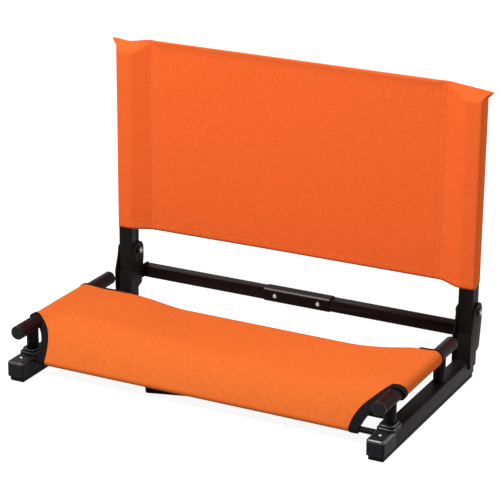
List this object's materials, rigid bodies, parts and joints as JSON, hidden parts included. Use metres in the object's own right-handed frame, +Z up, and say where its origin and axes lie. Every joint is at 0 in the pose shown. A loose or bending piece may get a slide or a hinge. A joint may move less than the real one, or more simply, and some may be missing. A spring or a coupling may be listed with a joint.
{
  "type": "stadium chair",
  "caption": "Low folding bench seat: a cloth sling on tube rails, a cloth back that folds down over it, and a swinging hook that grips the bench.",
  "frame": {"origin": "centre of the bounding box's bottom face, on the ground the rubber feet stand on", "axes": "+X to the viewer's right across the seat, +Y from the seat's front to its back, +Z up"},
  "size_m": [0.66, 0.3944, 0.473],
  "materials": {
    "black_frame": "semi-gloss black powder coat on steel tube and sheet",
    "boot_plastic": "moulded black plastic with a soft sheen",
    "plug_plastic": "moulded black plastic",
    "foot_rubber": "matt black rubber",
    "bright_steel": "zinc-plated steel",
    "nylon": "black nylon",
    "orange_canvas": "plain-woven orange polyester canvas",
    "black_binding": "woven black binding tape",
    "vinyl_dip": "dipped black vinyl"
  },
  "bodies": {
    "base": {"left_base_rail": "black_frame", "left_rubber_foot": "foot_rubber", "left_front_boot": "boot_plastic", "left_rail_plug": "plug_plastic", "left_front_post": "black_frame", "left_rear_post": "black_frame", "left_seat_tube": "black_frame", "left_tube_front_plug": "plug_plastic", "left_tube_rear_plug": "plug_plastic", "left_hinge_bracket": "black_frame", "left_crossbar_tube": "black_frame", "left_front_binding": "black_binding", "left_rear_binding": "black_binding", "right_base_rail": "black_frame", "right_rubber_foot": "foot_rubber", "right_front_boot": "boot_plastic", "right_rail_plug": "plug_plastic", "right_front_post": "black_frame", "right_rear_post": "black_frame", "right_seat_tube": "black_frame", "right_tube_front_plug": "plug_plastic", "right_tube_rear_plug": "plug_plastic", "right_hinge_bracket": "black_frame", "right_crossbar_tube": "black_frame", "right_front_binding": "black_binding", "right_rear_binding": "black_binding", "boot_screws": "bright_steel", "front_cross_rod": "black_frame", "crossbar_sleeve": "black_frame", "crossbar_rivets": "bright_steel", "pivot_bolts": "bright_steel", "pivot_nuts": "bright_steel", "pivot_washers": "nylon", "seat_cloth": "orange_canvas", "hook_strap": "black_frame", "hook_bolt": "bright_steel", "hook_washer": "bright_steel", "hook_nut": "bright_steel"},
    "backrest": {"back_cloth": "orange_canvas", "left_upright": "black_frame", "left_upright_top_plug": "plug_plastic", "left_upright_bottom_plug": "plug_plastic", "left_pivot_bush": "bright_steel", "right_upright": "black_frame", "right_upright_top_plug": "plug_plastic", "right_upright_bottom_plug": "plug_plastic", "right_pivot_bush": "bright_steel"},
    "hook": {"bench_hook": "black_frame", "hook_vinyl_tip": "vinyl_dip"}
  },
  "joints": [
    {"name": "back_fold", "type": "hinge", "parent": "base", "child": "backrest", "pos_m": [0, 0.16325, 0.108], "axis": [1, 0, 0], "range_deg": [0, 84.5]},
    {"name": "hook_swing", "type": "hinge", "parent": "base", "child": "hook", "pos_m": [0, -0.13835, 0.0244], "axis": [0, -1, 0], "range_deg": [-4, 80]}
  ]
}
